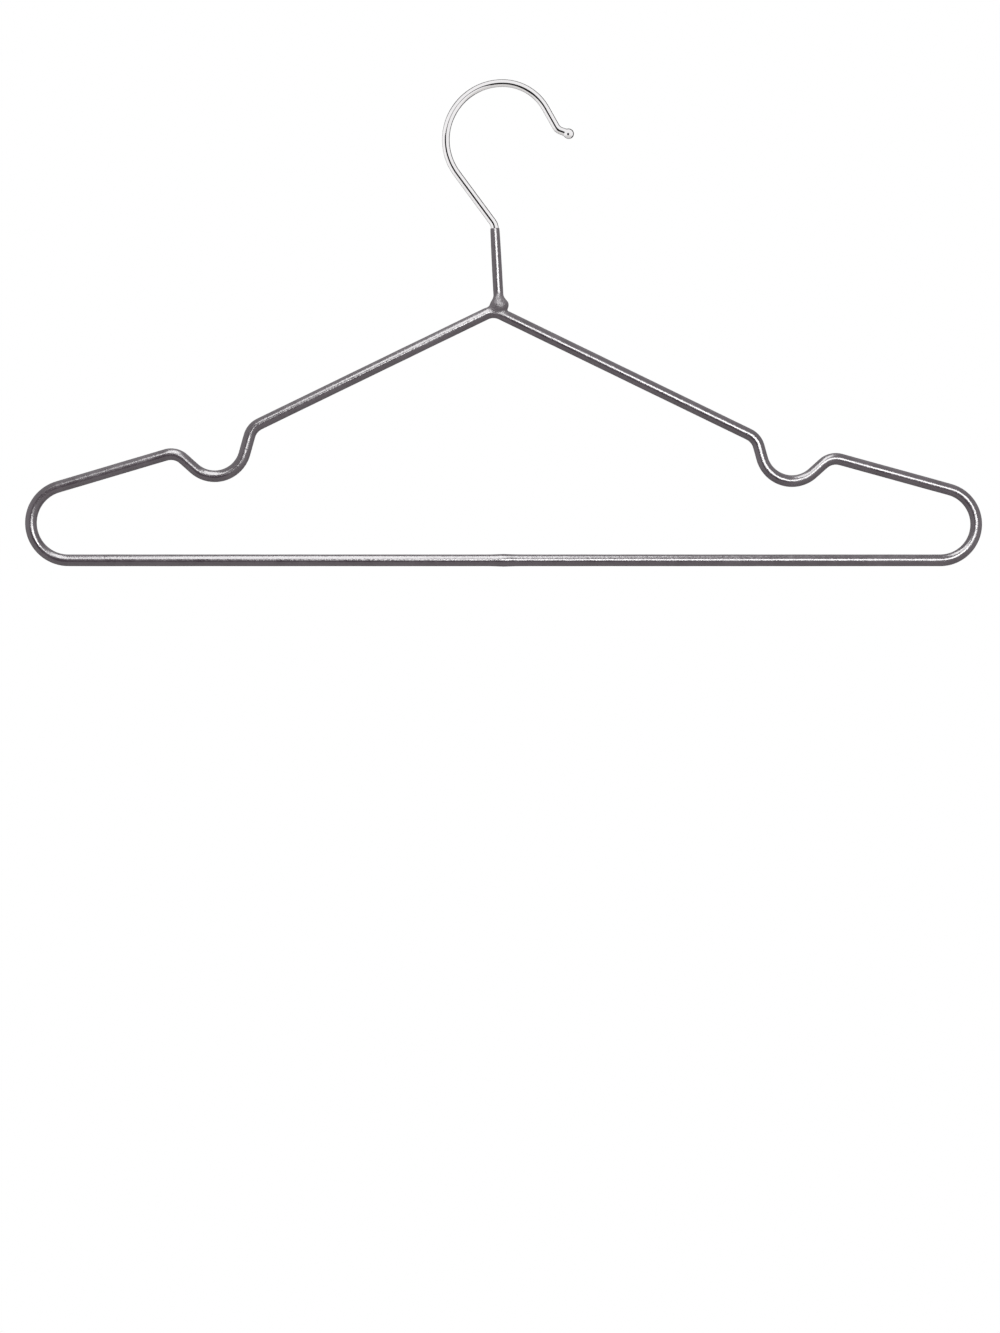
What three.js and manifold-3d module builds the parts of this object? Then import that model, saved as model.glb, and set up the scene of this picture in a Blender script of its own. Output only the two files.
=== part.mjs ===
// Wire trouser hanger: a steel wire bent into a closed frame with two strap notches, a plated wire
// hook welded on its apex, and a soft plastic skin that the frame and the neck are dipped in.
// Millimetres and degrees. +Z is up, X runs along the bar and the front faces -Y.
// The origin is the hook's saddle, the point under its crown that rests on a rail.
import * as THREE from "three";
import { mergeVertices } from "three/addons/utils/BufferGeometryUtils.js";
import Module from "manifold-3d";

const wasm = await Module();
wasm.setup();

// Wires, by diameter
const frameWire = 3.6;
const hookWire = 3.2;

// Plastic skin: its wall on the frame, on the neck and at the neck's upper edge, and its play on the steel
const coatWall = 0.55;
const neckWall = 0.4;
const edgeWall = 0.15;
const coatPlay = 0.15;

// Frame outline, along the middle of the wire
const overallWidth = 402; // over the skin
const barShift = 0.45; // the bar's middle lies a little to the right of the saddle
const endBend = 15.45; // radius of the round ends between arm and bar
const endSkew = 0.3; // the left end is rounder by this, the right end tighter
const armSlope = 15.95;
const armSkew = 0.55; // the left arm is steeper by this, the right arm flatter
const shoulderSlope = 25.9;
const apexBend = 7.5;
const apexShift = -4.25; // the apex lies a little to the left of the bar's middle

// Strap notches, cut into the line of each arm where it meets the shoulder
const lipReach = 106; // from the bar's middle to the notch's inner lip
const lipBend = 8;
const notchDepth = 19.25; // from the lip down to the middle of the wire at the bottom
const notchSkew = 0.35; // the left notch is deeper by this, the right one shallower
const notchBend = 13;
const notchInnerLean = 15.5; // of the inner wall, from upright
const notchOuterSlope = 42; // of the outer wall, from level
const rimBend = 8; // where the notch's outer wall turns into the arm

// Hook, along the middle of its wire
const hookDrop = 93.8; // from the saddle down to the corner of the apex
const crownBend = 23.8; // of the crown's rear half, towards the shank
const frontBend = 20.8; // of its front half, towards the tip
const crownTurn = 60.7; // from the crown's top down to the straight drop
const dropRun = 10.2;
const flareBend = 3.2;
const flareTurn = 40; // how far the tip turns out again
const flareRun = 5;
const ballDiameter = 4.4;
const shankSlant = 36.4; // from upright
const neckBend = 5.2;
const neckLean = 3; // from upright
const footOffset = 2.4; // from the apex to the foot of the neck

// Weld bead around the hook's foot, with heights above the corner of the apex
const beadRadius = 3.1;
const beadWaist = 2.4;
const beadTop = 6.6;
const beadBottom = -0.9;
const beadBottomRadius = 1.6;

// Butt weld that closes the frame, in the middle of the bar
const buttLength = 1.2;
const buttSwell = 0.2;
const sleeveLength = 14; // of the swelling that the weld leaves in the skin

// Facets
const coatSides = 16;
const coreSides = 12;
const hookSides = 16;
const bendStep = 12; // degrees of bend between two rings
const finest = 0.02; // a cut's slivers, finer than this, are closed up

const steel = new THREE.MeshStandardMaterial({ color: 0x8a8a8c, roughness: 0.5, metalness: 1 });
const weldMetal = new THREE.MeshStandardMaterial({ color: 0x6f6d6c, roughness: 0.7, metalness: 1 });
const brightPlate = new THREE.MeshStandardMaterial({ color: 0xd9d8d8, roughness: 0.15, metalness: 1 });
const darkVinyl = new THREE.MeshStandardMaterial({ color: 0x4f4b4f, roughness: 0.35, metalness: 0 });

const radians = THREE.MathUtils.degToRad;
const wireRadius = frameWire / 2;
const shankRadius = hookWire / 2;
const coatRadius = wireRadius + coatPlay + coatWall;

// Plane geometry: x across and z up, as a Vector2

const point = (x, z) => new THREE.Vector2(x, z);

/** The direction that lies so many degrees above the x axis. */
const heading = (degrees) => point(Math.cos(radians(degrees)), Math.sin(radians(degrees)));

/** Where the line through p along d crosses the line through q along e. */
function crossing(p, d, q, e) {
  const along = q.clone().sub(p).cross(e) / d.cross(e);
  return p.clone().addScaledVector(d, along);
}

/** Keeps each bend's tangent lengths within the straights beside it. */
function bendShares(tangents, lengths) {
  const shares = tangents.map(() => 1);
  lengths.forEach((length, i) => {
    const fit = length / Math.max(length, tangents[i] + tangents[i + 1]);
    shares[i] = Math.min(shares[i], fit);
    shares[i + 1] = Math.min(shares[i + 1], fit);
  });
  return shares;
}

/** Stations (point and tangent) along straight runs between corners, with each corner rounded by its bend. */
function bentWire(corners) {
  const runs = corners.slice(1).map((c, i) => c.at.clone().sub(corners[i].at));
  const lengths = runs.map((run) => run.length());
  const ways = runs.map((run) => run.normalize());
  const turns = corners.map((c, i) => {
    const inner = i > 0 && i < corners.length - 1;
    return inner ? Math.atan2(ways[i - 1].cross(ways[i]), ways[i - 1].dot(ways[i])) : 0;
  });
  const reach = (i) => (corners[i].bend ?? 0) * Math.tan(Math.abs(turns[i]) / 2);
  const shares = bendShares(corners.map((c, i) => reach(i)), lengths);
  const stations = [];
  const add = (at, way) => {
    const last = stations.at(-1);
    if (last && last.at.distanceTo(at) < 1e-6) return;
    stations.push({ at, way });
  };
  corners.forEach((corner, i) => {
    if (!turns[i]) {
      add(corner.at.clone(), (ways[i] ?? ways[i - 1]).clone());
      return;
    }
    const bend = corner.bend * shares[i];
    const start = corner.at.clone().addScaledVector(ways[i - 1], -reach(i) * shares[i]);
    const side = point(-ways[i - 1].y, ways[i - 1].x).multiplyScalar(Math.sign(turns[i]));
    const centre = start.clone().addScaledVector(side, bend);
    const steps = Math.ceil(Math.abs(turns[i]) / radians(bendStep));
    for (let k = 0; k <= steps; k++) {
      const angle = (turns[i] * k) / steps;
      const at = start.clone().rotateAround(centre, angle);
      add(at, ways[i - 1].clone().rotateAround(point(0, 0), angle));
    }
  });
  return stations;
}

/** A path in the plane y = 0 that gives its own stations, so that straights stay whole and bends are fine. */
class WirePath extends THREE.Curve {
  constructor(corners) {
    super();
    this.stations = bentWire(corners);
    this.steps = this.stations.length - 1;
  }
  getPointAt(u, target = new THREE.Vector3()) {
    const { at } = this.stations[Math.round(u * this.steps)];
    return target.set(at.x, 0, at.y);
  }
  getTangentAt(u, target = new THREE.Vector3()) {
    const { way } = this.stations[Math.round(u * this.steps)];
    return target.set(way.x, 0, way.y);
  }
}

// Solids

/** A closed geometry as a solid that can be joined and cut. */
function solidOf(geometry) {
  const bare = geometry.clone();
  bare.deleteAttribute("normal");
  bare.deleteAttribute("uv");
  const merged = mergeVertices(bare);
  const mesh = new wasm.Mesh({
    numProp: 3,
    vertProperties: merged.attributes.position.array,
    triVerts: new Uint32Array(merged.index.array),
  });
  return new wasm.Manifold(mesh);
}

function geometryOf(solid) {
  const { vertProperties, triVerts } = solid.asOriginal().simplify(finest).getMesh();
  const geometry = new THREE.BufferGeometry();
  geometry.setAttribute("position", new THREE.BufferAttribute(vertProperties, 3));
  geometry.setIndex(new THREE.BufferAttribute(triVerts, 1));
  geometry.computeVertexNormals();
  return geometry;
}

/** A round wire along a path, with flats that face the front, the back and straight up on the bar. */
function wire(path, radius, sides) {
  const section = new THREE.Shape();
  for (let k = 0; k < sides; k++) {
    const angle = ((k + 0.5) / sides) * 2 * Math.PI;
    const x = radius * Math.cos(angle);
    const y = radius * Math.sin(angle);
    if (k === 0) section.moveTo(x, y);
    else section.lineTo(x, y);
  }
  return solidOf(new THREE.ExtrudeGeometry(section, { steps: path.steps, extrudePath: path }));
}

/** A turned solid from (radius, height) points that run up from axis to axis, placed by a matrix. */
function turned(outline, sides, place) {
  const profile = outline.map(([radius, height]) => point(radius, height));
  const geometry = new THREE.LatheGeometry(profile, sides);
  geometry.rotateX(Math.PI / 2);
  return solidOf(geometry.applyMatrix4(place));
}

// Outline of the frame

const halfWidth = overallWidth / 2 - coatRadius;

/** Height of an arm's line above the bar, at the reach of the notch's lip from the bar's middle. */
function lipRise(slope, bend) {
  const touch = halfWidth - bend + bend * Math.sin(radians(slope));
  return bend * (1 + Math.cos(radians(slope))) + Math.tan(radians(slope)) * (touch - lipReach);
}

const apexZ = -hookDrop;
const barZ = apexZ - lipRise(armSlope, endBend) - Math.tan(radians(shoulderSlope)) * lipReach;
const apex = point(barShift + apexShift, apexZ);

/** Corners of one side of the frame, from its end on the bar up to the shoulder; side is 1 or -1. */
function sideCorners(side) {
  const place = (p) => point(barShift + side * p.x, p.y);
  const slope = armSlope - side * armSkew;
  const roundEnd = endBend - side * endSkew;
  const lip = point(lipReach, barZ + lipRise(slope, roundEnd));
  const arm = heading(-slope);
  const innerWall = heading(notchInnerLean - 90);
  const outerWall = heading(notchOuterSlope);
  const centreZ = lip.y - (notchDepth - side * notchSkew) + notchBend;
  const wallX = lipReach + Math.tan(radians(notchInnerLean)) * (lip.y - centreZ);
  const centre = point(wallX + notchBend / Math.cos(radians(notchInnerLean)), centreZ);
  const outerTouch = centre.clone().addScaledVector(heading(notchOuterSlope - 90), notchBend);
  const shoulderStart = point(side * apexShift, apexZ);
  return [
    { at: place(crossing(lip, arm, point(0, barZ), heading(0))), bend: roundEnd },
    { at: place(crossing(outerTouch, outerWall, lip, arm)), bend: rimBend },
    { at: place(crossing(outerTouch, outerWall, lip, innerWall)), bend: notchBend },
    { at: place(crossing(shoulderStart, heading(-shoulderSlope), lip, innerWall)), bend: lipBend },
  ];
}

const wireEnd = buttLength / 2 + coatPlay;
const framePath = new WirePath([
  { at: point(barShift + wireEnd, barZ) },
  ...sideCorners(1),
  { at: apex, bend: apexBend },
  ...sideCorners(-1).reverse(),
  { at: point(barShift - wireEnd, barZ) },
]);

// Outline of the hook

const neckFoot = point(apex.x + footOffset, apex.y);
const neckWay = heading(90 + neckLean);
const crownTop = shankRadius;
const crownStart = point(-crownBend * Math.tan(radians(90 + shankSlant) / 2), crownTop);
const crownEnd = point(frontBend * Math.tan(radians(crownTurn) / 2), crownTop);
const neckCorner = crossing(neckFoot, neckWay, crownStart, heading(shankSlant - 90));
const drop = crownEnd.x + dropRun;
const dropCorner = crownEnd.clone().addScaledVector(heading(-crownTurn), drop);
const tip = dropCorner.clone().addScaledVector(heading(flareTurn - crownTurn), flareRun);
const hookPath = new WirePath([
  { at: neckFoot },
  { at: neckCorner, bend: neckBend },
  { at: crownStart, bend: crownBend },
  { at: crownEnd, bend: frontBend },
  { at: dropCorner, bend: flareBend },
  { at: tip },
]);

// The neck's own frame: its axis leans with the neck and starts level with the corner of the apex

const neckPlace = new THREE.Matrix4()
  .makeRotationY(-radians(neckLean))
  .setPosition(neckFoot.x, 0, neckFoot.y);
const barPlace = new THREE.Matrix4().makeRotationY(Math.PI / 2).setPosition(barShift, 0, barZ);
const bendReach = neckBend * Math.tan(radians(shankSlant - neckLean) / 2);
const neckEdge = neckCorner.distanceTo(neckFoot) - bendReach;

/** Outline of the weld bead, from its bottom up to the shank, grown outwards by a skin. */
function beadOutline(grow) {
  const belly = beadRadius + grow;
  const bottom = beadBottom - grow;
  const outline = [[0, bottom]];
  const lowSteps = 4;
  for (let k = 0; k <= lowSteps; k++) {
    const share = 1 - k / lowSteps;
    const height = beadWaist + (bottom - beadWaist) * share;
    outline.push([beadBottomRadius + (belly - beadBottomRadius) * Math.sqrt(1 - share * share), height]);
  }
  const highSteps = 5;
  for (let k = 1; k <= highSteps; k++) {
    const share = (1 + Math.cos((Math.PI * k) / highSteps)) / 2;
    const radius = shankRadius + grow + (beadRadius - shankRadius) * share;
    outline.push([radius, beadWaist + ((beadTop - beadWaist) * k) / highSteps]);
  }
  return outline;
}

/** Outline of the skin on the neck: over the bead, up the shank, and thinning out to its edge. */
function neckOutline() {
  const outline = beadOutline(coatPlay + coatWall);
  outline.pop();
  const thinning = [0, 0.5, 0.8, 0.95, 1];
  thinning.forEach((share) => {
    const wall = edgeWall + (neckWall - edgeWall) * Math.sqrt(1 - share * share);
    outline.push([shankRadius + coatPlay + wall, beadTop + (neckEdge - beadTop) * share]);
  });
  outline.push([0, neckEdge]);
  return outline;
}

/** Outline of the room inside that skin, for the bead and the shank, open past the edge. */
function neckRoom() {
  const mouth = neckEdge + bendReach;
  return [...beadOutline(coatPlay), [shankRadius + coatPlay, mouth], [0, mouth]];
}

/** A plain cylinder outline between two heights. */
const rod = (radius, low, high) => [[0, low], [radius, low], [radius, high], [0, high]];

// Pieces

const clearOfFrame = wire(framePath, wireRadius + coatPlay, coreSides);

function makeFrameWire() {
  return wire(framePath, wireRadius, coreSides);
}

function makeButtWeld() {
  const half = buttLength / 2;
  const outline = [[0, -half], [wireRadius, -half], [wireRadius + buttSwell, 0], [wireRadius, half], [0, half]];
  return turned(outline, coreSides, barPlace);
}

function makeHook() {
  const ball = new THREE.SphereGeometry(ballDiameter / 2, hookSides, hookSides / 2);
  ball.translate(tip.x, 0, tip.y);
  return wire(hookPath, shankRadius, hookSides).add(solidOf(ball)).subtract(clearOfFrame);
}

function makeHookWeld() {
  const bead = turned([...beadOutline(0), [0, beadTop]], hookSides, neckPlace);
  const bore = turned(rod(shankRadius + coatPlay, beadBottom, beadTop + coatPlay), hookSides, neckPlace);
  return bead.subtract(bore).subtract(clearOfFrame);
}

function makeCoating() {
  const half = sleeveLength / 2;
  const swell = coatRadius + buttSwell;
  const sleeve = [[0, -half], [coatRadius - coatWall, -half], [swell, -buttLength], [swell, buttLength]];
  sleeve.push([coatRadius - coatWall, half], [0, half]);
  const outside = wire(framePath, coatRadius, coatSides)
    .add(turned(sleeve, coatSides, barPlace))
    .add(turned(neckOutline(), coatSides, neckPlace));
  const buttRoom = rod(wireRadius + buttSwell + coatPlay, -buttLength, buttLength);
  return outside
    .subtract(clearOfFrame)
    .subtract(turned(buttRoom, coreSides, barPlace))
    .subtract(turned(neckRoom(), hookSides, neckPlace));
}

const hanger = new THREE.Group();
const pieces = [
  ["frame_wire", makeFrameWire, steel],
  ["butt_weld", makeButtWeld, weldMetal],
  ["hook", makeHook, brightPlate],
  ["hook_weld", makeHookWeld, weldMetal],
  ["coating", makeCoating, darkVinyl],
];
for (const [name, make, material] of pieces) {
  const mesh = new THREE.Mesh(geometryOf(make()), material);
  mesh.name = name;
  hanger.add(mesh);
}

export default hanger;
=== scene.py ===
"""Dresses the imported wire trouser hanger: dipped vinyl skin, plated hook, the steel inside and a studio.

Lengths are in metres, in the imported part's frame: X along the bar, Z up, the front towards -Y, and the
origin under the hook's crown. The wires lie in the plane y = 0, where a point (x, z) is the complex number
x + zi.
"""

import cmath
import math
from collections import namedtuple

import bpy
import numpy as np
from bpy.props import FloatProperty, FloatVectorProperty, PointerProperty
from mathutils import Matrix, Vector, noise


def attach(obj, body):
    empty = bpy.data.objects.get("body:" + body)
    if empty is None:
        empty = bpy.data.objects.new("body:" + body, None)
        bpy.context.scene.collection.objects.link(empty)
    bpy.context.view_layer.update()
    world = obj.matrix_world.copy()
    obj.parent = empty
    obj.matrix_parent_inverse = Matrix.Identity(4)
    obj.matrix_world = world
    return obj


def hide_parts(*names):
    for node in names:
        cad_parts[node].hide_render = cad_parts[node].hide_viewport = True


bl_info = {
    "name": "Wire trouser hanger",
    "version": (1, 0, 0),
    "blender": (4, 5, 0),
    "location": "View3D > Sidebar > Hanger",
    "description": "Builds the looks of a dipped wire hanger around its packed frame",
    "category": "Object",
}

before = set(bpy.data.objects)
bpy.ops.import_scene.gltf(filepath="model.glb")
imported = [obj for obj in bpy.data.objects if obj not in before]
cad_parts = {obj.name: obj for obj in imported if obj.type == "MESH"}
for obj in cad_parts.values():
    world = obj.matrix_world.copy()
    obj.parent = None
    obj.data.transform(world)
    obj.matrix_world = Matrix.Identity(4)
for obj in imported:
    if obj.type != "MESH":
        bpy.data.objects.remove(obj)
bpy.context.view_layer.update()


def mm(value):
    """Millimetres as metres."""
    return value / 1000


# How finely the meshes are drawn
SIDES = 32  # points round a wire
PATCH = SIDES // 8  # half the side of the square in the frame's mesh that the neck grows out of
PITCH = 0.0001  # how finely an outline is drawn before rings are placed along it
RUN_STEP = 0.0025  # between two rings on a straight
TURN_STEP = math.radians(3)  # between two rings in a bend
SPREAD = 30  # how many points of the outline, to each side, the rings' spacing is averaged over
JOINT_STEP = 0.00055  # between two rings at the foot of the neck
JOINT_REACH = mm(5)  # how far from the foot they lie as close as that
JOINT_FADE = mm(8)  # the run over which they then spread out
RISER_ROWS = 12  # from the rim of the patch to the neck's lowest ring
STEM_ROWS = 31  # from that ring to the skin's upper edge
SETTLE_REACH = mm(10)  # how far from the weld the mesh is evened out
SETTLE_FADE = mm(3)  # the run over which its points come free
LEAST_SLOPE = 0.1  # keeps a point's step short where the distance from the surface hardly changes
BALL_STEP = 0.14  # between two rings on the ball's end, as a share of its radius there
POLE_STEP = mm(0.02)  # added to that, so that it never comes to nought
STALK_STEP = mm(0.25)  # between two rings just before the ball
BALL_BLEND = mm(0.5)  # width of the blend from the wire into the ball
SHARP = math.radians(50)  # edges that turn further than this are shaded as edges
RIPPLE_SINK = 1.5  # taken off a noise that runs from -1 to 1, so that the skin's ripple only ever sinks
LUMP_SINK = 0.5  # the same for the skin over the weld, where only the hollows are kept

# Numbers of the finishes
WELD_DULLING = 0.2  # how much rougher the vinyl is over the weld
EDGE_DULLING = 0.8  # how much rougher it looks edge on
DIE_STRETCH = 60  # how many times longer than wide the die's lines are
DRAWN_GRAIN = 8  # width of the patches on the bare wire, in die lines
FLOOR_PATCH = mm(300)  # size of the uneven patches in the floor's paint
FLOOR_FADE = (0.1, 0.48)  # where the floor starts and ends its fading, as shares of its side

Line = namedtuple("Line", "points ways curves")
Rings = namedtuple("Rings", "points ways along")
Panel = namedtuple("Panel", "name right up distance width height")

# Flags and lamps: degrees to the right of the camera's axis and above it, seen from the hanger; then metres
FLAGS = (
    Panel("front_flag", -13.5, -12.5, 1.5, 1.18, 1.43),
    Panel("right_flag", 138, 0, 1.0, 1.0, 2.2),
    Panel("top_flag", 180, 42, 1.0, 2.2, 1.0),
    Panel("left_flag", -145, 0, 1.0, 0.4, 1.6),
    Panel("bottom_flag", 180, -35, 1.0, 1.6, 0.4),
)
FRONT_BOX = Panel("front_box", 8, 20, 1.5, 1.0, 1.0)
KEY_BOX = Panel("key_box", 14, 6, 1.2, 0.75, 0.46)
SOFT_BOX = Panel("soft_box", -15, 51, 0.68, 0.34, 0.86)
BACK_BOX = Panel("back_box", 170, 9, 1.2, 0.5, 0.5)
AIM_HEIGHT = -0.1  # of the point that they all face
PICTURE = (1000, 1333)  # width and height of the picture


def linear(code):
    """An sRGB hex colour as linear RGBA."""
    channels = [int(code[k : k + 2], 16) / 255 for k in (1, 3, 5)]
    return (*[c / 12.92 if c <= 0.04045 else ((c + 0.055) / 1.055) ** 2.4 for c in channels], 1.0)


def length(name, default, description):
    """A size that a user may change; the default is in millimetres."""
    return FloatProperty(name=name, description=description, default=mm(default), unit="LENGTH", precision=5)


def angle(name, default, description):
    """An angle that a user may change; the default is in degrees."""
    return FloatProperty(name=name, description=description, default=math.radians(default), subtype="ANGLE")


def brightness(name, default, description):
    """The brightness of a light that a user may change."""
    return FloatProperty(name=name, description=description, default=default, min=0)


def colour(name, default, description):
    """A colour that a user may change; the default is an sRGB hex value."""
    return FloatVectorProperty(
        name=name, description=description, default=linear(default), subtype="COLOR", size=4, min=0, max=1
    )


class HangerFrame(bpy.types.PropertyGroup):
    """Outline of the bent frame, along the middle of its wire, and the skin on it."""

    wire: length("Wire", 3.6, "Diameter of the steel wire inside the skin")
    wall: length("Skin wall", 0.55, "Thickness of the skin on the frame")
    play: length("Play", 0.15, "Room between the skin and the steel")
    width: length("Overall width", 402, "Width over the skin, from end to end")
    bar_shift: length("Bar shift", 0.45, "From the saddle's plumb line to the bar's middle")
    end_bend: length("End bend", 15.45, "Radius of the round ends")
    end_skew: length("End skew", 0.3, "How much rounder the left end is, and how much tighter the right one")
    arm_slope: angle("Arm slope", 15.95, "Slope of the arms outside the notches")
    arm_skew: angle("Arm skew", 0.55, "How much steeper the left arm is, and how much flatter the right one")
    shoulder_slope: angle("Shoulder slope", 25.9, "Slope of the shoulders")
    apex_bend: length("Apex bend", 7.5, "Radius of the bend at the apex")
    apex_shift: length("Apex shift", -4.25, "From the bar's middle to the apex")
    lip_reach: length("Lip reach", 106, "From the bar's middle to the notch's inner lip")
    lip_bend: length("Lip bend", 8, "Radius of the notch's inner lip")
    notch_depth: length("Notch depth", 19.25, "From the lip down to the notch's bottom")
    notch_skew: length("Notch skew", 0.35, "How much deeper the left notch is, and shallower the right one")
    notch_bend: length("Notch bend", 13, "Radius of the notch's bottom")
    notch_lean: angle("Inner wall lean", 15.5, "Lean of the notch's inner wall, from upright")
    notch_slope: angle("Outer wall slope", 42, "Slope of the notch's outer wall, from level")
    rim_bend: length("Rim bend", 8, "Radius where the notch turns into the arm")
    weld_swell: length("Weld swell", 0.2, "How far the closing weld swells the skin in the bar's middle")
    weld_run: length("Weld run", 3.5, "How far that swelling runs to each side")
    ripple: length("Ripple", 0.03, "How far the dipped skin swells and thins along the wire")
    ripple_run: length("Ripple run", 13, "Distance between two swells of the skin")


class HangerHook(bpy.types.PropertyGroup):
    """Outline of the hook, along the middle of its wire, and of the neck that it stands in."""

    wire: length("Wire", 3.2, "Diameter of the hook's wire")
    drop: length("Drop", 93.8, "From the saddle down to the corner of the apex")
    crown_bend: length("Crown bend", 23.8, "Radius of the crown's rear half, towards the shank")
    front_bend: length("Front bend", 20.8, "Radius of the crown's front half, towards the tip")
    crown_turn: angle("Crown turn", 60.7, "From the crown's top to the straight drop")
    drop_run: length("Drop run", 10.2, "How much further the drop runs before the tip turns out")
    flare_bend: length("Flare bend", 3.2, "Radius of the bend at the tip")
    flare_turn: angle("Flare turn", 40, "How far the tip turns out again")
    flare_run: length("Flare run", 5, "From that bend's corner to the middle of the ball")
    ball: length("Ball", 4.4, "Diameter of the ball at the tip")
    slant: angle("Shank slant", 36.4, "Slant of the shank, from upright")
    neck_bend: length("Neck bend", 5.2, "Radius of the bend above the neck")
    neck_lean: angle("Neck lean", 3, "Lean of the neck to the left, from upright")
    foot_offset: length("Foot offset", 2.4, "From the apex to the foot of the neck")
    foot_rise: length("Foot rise", 1.2, "Height of the shank's cut end above the corner of the apex")
    neck_wall: length("Neck wall", 0.4, "Thickness of the skin on the neck")
    edge_wall: length("Edge wall", 0.15, "Thickness of the skin at its upper edge")
    weld_wall: length("Weld wall", 0.28, "Thickness of the skin over the weld bead")
    bead: length("Bead", 3.1, "Radius of the weld bead under the skin")
    bead_waist: length("Bead waist", 2.4, "Height of the bead's widest part above the apex")
    bead_top: length("Bead top", 6.6, "Height of the bead's top above the apex")
    bead_bottom: length("Bead bottom", -0.7, "Height of the lump's lower end above the apex")
    bead_root: length("Bead root", 1.6, "Radius of the lump's lower end")
    bead_bulge: length("Bead bulge", 0.4, "How much further the lump bulges on the right")
    left_fillet: length("Left fillet", 1.8, "How widely the neck's skin runs into the left shoulder")
    right_fillet: length("Right fillet", 0.9, "How widely the lump's skin runs into the right shoulder")
    lump: length("Lump", 0.1, "How uneven the skin is over the weld")
    lump_grain: length("Lump grain", 1.7, "Size of the hollows and bumps there")


class HangerFinish(bpy.types.PropertyGroup):
    """Colours of the finishes and the real sizes of their patterns."""

    vinyl_thick: colour("Vinyl, thick", "#463D44", "Colour of the skin where it lies thick")
    vinyl_thin: colour("Vinyl, thin", "#51484F", "Colour of the skin where it lies thin")
    cloud: length("Cloud", 7, "Size of the cloudy patches in the vinyl")
    peel: length("Peel", 1.3, "Size of the dimples in the vinyl's surface")
    plate: colour("Plating", "#F2F0F1", "Colour of the bright plating")
    die_line: length("Die line", 0.25, "Spacing of the faint lines that the die leaves along the wire")
    steel: colour("Steel", "#8C8A88", "Colour of the bare drawn wire")
    weld: colour("Weld", "#5E5A57", "Colour of the dull weld metal")
    weld_ripple: length("Weld ripple", 0.7, "Spacing of the ripples on the weld metal")
    floor: colour("Floor", "#EFEEEC", "Colour of the floor")
    flag: colour("Flag", "#1E1C1D", "Colour of the dark flags that the plating reflects")


class HangerStage(bpy.types.PropertyGroup):
    """The camera's frame, the floor and the lamps."""

    view_width: length("View width", 420, "Width of the picture at the hanger")
    view_x: length("View X", -1.05, "Middle of the picture across")
    view_z: length("View Z", -243.4, "Middle of the picture in height")
    distance: length("Distance", 1600, "From the camera to the hanger")
    floor_z: length("Floor height", -1100, "Height of the floor")
    floor_size: length("Floor size", 5000, "Side of the floor")
    fill: brightness("Fill", 0.8, "Strength of the even light from all round")
    front: brightness("Front", 1.6, "Radiance of the broad lamp over the camera")
    key: brightness("Key", 18, "Radiance of the lamp whose line shows on the vinyl")
    soft: brightness("Soft", 10.5, "Radiance of the lamp up on the left")
    back: brightness("Back", 5, "Radiance of the lamp behind, which shines on the back")


# Outlines


def heading(turn):
    """The unit step that lies so far above the x axis."""
    return cmath.rect(1, turn)


def cross(a, b):
    """The area between two steps, positive where b lies to the left of a."""
    return (a.conjugate() * b).imag


def crossing(p, d, q, e):
    """Where the line through p along d crosses the line through q along e."""
    return p + d * cross(q - p, e) / cross(d, e)


def bent_line(corners):
    """Draws straight runs with rounded corners as fine points, with their directions and curvature.

    corners holds a point and a bend radius for each corner; both ends have none.
    """
    points, ways, curves = [], [], []

    def add(more_points, more_ways, curve):
        points.append(more_points)
        ways.append(more_ways)
        curves.append(np.full(len(more_points), curve))

    def add_run(start, end, way):
        steps = int(abs(end - start) / PITCH)
        if steps:
            add(start + (end - start) * np.arange(steps) / steps, np.full(steps, way), 0.0)

    start = corners[0][0]
    for (a, _), (b, bend), (c, _) in zip(corners, corners[1:], corners[2:]):
        before, after = (b - a) / abs(b - a), (c - b) / abs(c - b)
        turn = cmath.phase(after / before)
        reach = bend * math.tan(abs(turn) / 2)
        touch = b - before * reach
        add_run(start, touch, before)
        centre = touch + 1j * before * math.copysign(bend, turn)
        steps = math.ceil(abs(turn) * bend / PITCH)
        spin = np.exp(1j * turn * np.arange(steps) / steps)
        add(centre + (touch - centre) * spin, before * spin, 1 / bend)
        start = b + after * reach
    end = corners[-1][0]
    add_run(start, end, after)
    add(np.array([end]), np.array([after]), 0.0)
    return Line(*[np.concatenate(part) for part in (points, ways, curves)])


def run_along(line):
    """Distance of each of a line's points from its start."""
    return np.r_[0, np.cumsum(np.abs(np.diff(line.points)))]


def bend_spacing(line):
    """How far apart rings lie along a line: wide on the straights, gradually closer towards the bends."""
    tight = TURN_STEP / np.maximum(line.curves, TURN_STEP / RUN_STEP)
    window = np.hanning(2 * SPREAD + 1)
    return np.convolve(np.pad(tight, SPREAD, mode="edge"), window / window.sum(), mode="valid")


def place_rings(line, spacing):
    """Places rings along a line, each about as far from the next as spacing says there."""
    along = run_along(line)
    count = np.r_[0, np.cumsum(np.diff(along) * 2 / (spacing[1:] + spacing[:-1]))]
    wanted = np.linspace(0, count[-1], round(count[-1]) + 1)
    points, ways, run = (np.interp(wanted, count, part) for part in (line.points, line.ways, along))
    return Rings(points, ways / np.abs(ways), run)


def bar_height(size, hook):
    """Height of the bar, which follows from the slopes above it."""
    rise = lip_rise(size, size.arm_slope, size.end_bend)
    return -hook.drop - rise - math.tan(size.shoulder_slope) * size.lip_reach


def skin_radius(size):
    """Radius of the coated frame."""
    return size.wire / 2 + size.play + size.wall


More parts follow.
